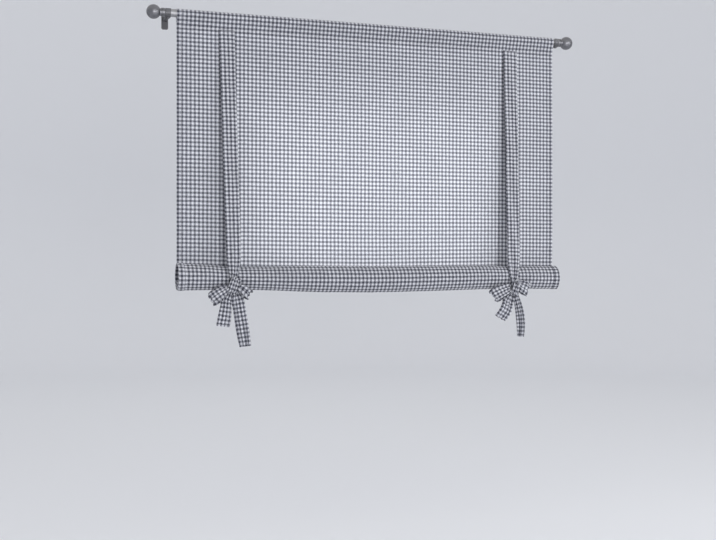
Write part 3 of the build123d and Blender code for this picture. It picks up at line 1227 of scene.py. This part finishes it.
@dataclass
class WallScrew:
    """A countersunk screw head in one hole of a wall plate, with a cross recess."""

    name: str
    middle: tuple[float, float]
    face: float = -3.42
    head: float = 4.15
    shank: float = 2.1
    length: float = 2.47  # of the head and the start of the shank, which ends in the plate
    recess: tuple[float, float, float] = (0.42, 1.9, 0.9)  # half a slot's width, its reach and depth

    def build(self, material: bpy.types.Material) -> bpy.types.Object:
        """Build the screw.

        Args:
            material: its metal.

        Returns:
            The piece.
        """
        work = bmesh.new()
        bmesh.ops.create_circle(work, cap_ends=True, segments=32, radius=self.head)
        half, reach, deep = self.recess
        for normal in ((1, 0, 0), (0, 1, 0)):
            for off in (-reach, -half, half, reach):
                geometry = work.verts[:] + work.edges[:] + work.faces[:]
                point = [off * n for n in normal]
                bmesh.ops.bisect_plane(work, geom=geometry, plane_co=point, plane_no=normal)
        cross = []
        for face in work.faces:
            near, far = sorted(map(abs, face.calc_center_median().xy))
            if near < half and far < reach:
                cross.append(face)
        rim = [e for e in work.edges if e.is_boundary]
        sunk = bmesh.ops.extrude_face_region(work, geom=cross)["geom"]
        bmesh.ops.delete(work, geom=cross, context="FACES")
        floor = [v for v in sunk if isinstance(v, bmesh.types.BMVert)]
        bmesh.ops.translate(work, verts=floor, vec=(0, 0, -deep))
        for depth in (self.head - self.shank, self.length):
            rim = [e for e in bmesh.ops.extrude_edge_only(work, edges=rim)["geom"]
                   if isinstance(e, bmesh.types.BMEdge) and e.is_boundary]
            for vert in {v for e in rim for v in e.verts}:
                away = Vector((vert.co.x, vert.co.y, 0.0)).normalized() * self.shank
                vert.co = Vector((away.x, away.y, -depth))
        bmesh.ops.contextual_create(work, geom=rim)
        bmesh.ops.recalc_face_normals(work, faces=work.faces)
        upright = Matrix.Rotation(math.radians(90.0), 3, "X")
        bmesh.ops.rotate(work, verts=work.verts, cent=(0, 0, 0), matrix=upright)
        bmesh.ops.translate(work, verts=work.verts, vec=(self.middle[0], self.face, self.middle[1]))
        bmesh.ops.scale(work, verts=work.verts, vec=(MM, MM, MM))
        mesh = bpy.data.meshes.new(self.name)
        work.to_mesh(mesh)
        work.free()
        mesh.materials.append(material)
        piece = bpy.data.objects.new(self.name, mesh)
        bpy.context.scene.collection.objects.link(piece)
        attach(piece, "root")
        log.info("%s", self.name)
        return piece


# ---- Studio -----------------------------------------------------------------------------


@dataclass(frozen=True)
class Lamp:
    """One soft light: where it hangs, what it points at, its size, watts and spread in degrees."""

    name: str
    at: Place
    target: Place
    size: tuple[float, float]
    power: float
    spread: float

    def build(self) -> None:
        """Hang the light."""
        lamp = bpy.data.lights.new(self.name, "AREA")
        lamp.shape = "RECTANGLE"
        lamp.size, lamp.size_y = self.size
        lamp.energy = self.power
        lamp.spread = math.radians(self.spread)
        holder = bpy.data.objects.new(self.name, lamp)
        holder.location = self.at
        away = Vector(self.at) - Vector(self.target)
        holder.rotation_euler = away.to_track_quat("Z", "Y").to_euler()
        holder.visible_camera = False
        bpy.context.scene.collection.objects.link(holder)


@dataclass
class Studio:
    """Floor, soft lights and camera, in metres."""

    floor_height: float = -1.25
    floor_radius: float = 4.4
    sweep: float = 1.4
    wall_height: float = 3.6
    ambient: float = 0.82
    camera_place: Place = (-0.8669, -2.5846, -0.6271)
    camera_turn: float = 18.0927
    focal: float = 53.30
    rise: float = 0.0118
    lamps: tuple[Lamp, ...] = (
        Lamp("key", (-0.3, -3.0, -0.45), (0.0, 0.0, -0.35), (0.8, 0.8), 16.5, 150.0),
        Lamp("fill", (1.7, -2.4, -0.05), (0.0, 0.0, -0.35), (2.0, 1.1), 17.5, 150.0),
        Lamp("window", (0.03, 0.16, -0.45), (0.03, 0.0, -0.45), (0.74, 0.56), 2.25, 100.0),
    )

    def build(self) -> None:
        """Build the studio."""
        self.add_floor()
        self.add_world()
        for lamp in self.lamps:
            lamp.build()
        self.add_camera()
        view = bpy.context.scene.view_settings
        view.view_transform = "Standard"
        view.look = "None"

    def add_floor(self) -> None:
        """Lay the plain pale floor, which sweeps up into a wall all round."""
        mesh = bpy.data.meshes.new("studio_floor")
        work = bmesh.new()
        outline = [(0.0, 0.0), (self.floor_radius, 0.0)]
        for k in range(1, 13):
            turn = math.radians(7.5 * k)
            out = self.floor_radius + self.sweep * math.sin(turn)
            outline.append((out, self.sweep * (1 - math.cos(turn))))
        outline.append((self.floor_radius + self.sweep, self.wall_height))
        corners = [work.verts.new((x, 0.0, self.floor_height + z)) for x, z in outline]
        edges = [work.edges.new(pair) for pair in zip(corners, corners[1:])]
        bmesh.ops.spin(work, geom=corners + edges, cent=(0, 0, 0), axis=(0, 0, 1), angle=math.tau,
                       steps=96, use_merge=True)
        bmesh.ops.remove_doubles(work, verts=work.verts, dist=1e-5)
        bmesh.ops.recalc_face_normals(work, faces=work.faces)
        bmesh.ops.reverse_faces(work, faces=work.faces)
        for face in work.faces:
            face.smooth = True
        work.to_mesh(mesh)
        work.free()
        mesh.materials.append(FloorFinish().build())
        floor = bpy.data.objects.new("studio_floor", mesh)
        bpy.context.scene.collection.objects.link(floor)

    def add_world(self) -> None:
        """Light the room evenly from all round."""
        world = bpy.data.worlds.new("studio_air")
        world.use_nodes = True
        sky = world.node_tree.nodes["Background"]
        sky.inputs[0].default_value = (0.985, 0.99, 1.0, 1.0)
        sky.inputs[1].default_value = self.ambient
        bpy.context.scene.world = world

    def add_camera(self) -> None:
        """Place the camera."""
        lens = bpy.data.cameras.new("camera")
        lens.lens = self.focal
        lens.sensor_width = 36.0
        lens.shift_y = self.rise
        holder = bpy.data.objects.new("camera", lens)
        holder.location = self.camera_place
        holder.rotation_euler = (math.radians(90.0), 0.0, math.radians(-self.camera_turn))
        bpy.context.scene.collection.objects.link(holder)
        bpy.context.scene.camera = holder


# ---- The blind --------------------------------------------------------------------------


def bow_shapes() -> tuple[BowShape, BowShape]:
    """Return the shapes of the left and right bows."""
    left = BowShape(
        side="left",
        knot=(-370.0, -115.5, -645.0),
        top=-374.0,
        foot=-366.5,
        back=-371.0,
        left_loop=Loop(reach=61.0, angle=209.0, width=30.0, tilt=24.0, root=(0.0, 3.0)),
        right_loop=Loop(reach=45.0, angle=-35.0, width=27.0, tilt=28.0, root=(0.0, 9.5)),
        left_tail=Tail(start=(-16.0, -33.0), end=(-25.0, -95.0), widths=(27.0, 33.0), lift=4.0),
        right_tail=Tail(start=(10.5, -33.0), end=(28.5, -143.0), widths=(30.0, 31.0), turned=40.0),
        band=25.0,
        tall=38.0,
        neck=18.0,
        neck_rise=21.0,
    )
    right = BowShape(
        side="right",
        knot=(361.5, -116.5, -654.0),
        top=381.0,
        foot=364.0,
        back=378.0,
        left_loop=Loop(reach=65.0, angle=200.0, width=33.0, tilt=20.0, skew=-9.0, root=(2.0, 8.5)),
        right_loop=Loop(reach=39.0, angle=-24.0, width=36.0, tilt=16.0, puff=16.0, root=(2.0, 18.0)),
        left_tail=Tail(start=(-17.0, -32.0), end=(-40.0, -75.0), widths=(30.0, 32.0), lift=10.0),
        right_tail=Tail(start=(4.5, -20.0), end=(17.5, -123.0), widths=(20.0, 24.0), bow=6.0, turned=58.0),
        band=21.0,
        tall=29.0,
        neck=11.0,
        neck_rise=21.0,
    )
    return left, right


def cloth_finish(use: ClothUse, lines: tuple[StitchLine, ...]) -> bpy.types.Material:
    """Return the gingham of one cloth, with the lines that are sewn through it."""
    shift, lets_through = {
        ClothUse.PANEL: ((5.3, 4.3), 0.2),
        ClothUse.TIE: ((0.0, 0.0), 0.15),
    }[use]
    return GinghamFinish(f"{use.value}_gingham", lines, shift=shift, lets_through=lets_through).build()


def main() -> None:
    """Build the blind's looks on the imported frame."""
    logging.basicConfig(level=logging.INFO, format="%(message)s")
    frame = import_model()
    RodSet(frame["nodes"]).dress()
    panel = BlindPanel(RollShape())
    panel.build(cloth_finish)
    for shape in bow_shapes():
        TiePair(shape, panel).build(cloth_finish)
    Studio().build()
    bpy.context.view_layer.update()


if __name__ == "__main__":
    main()
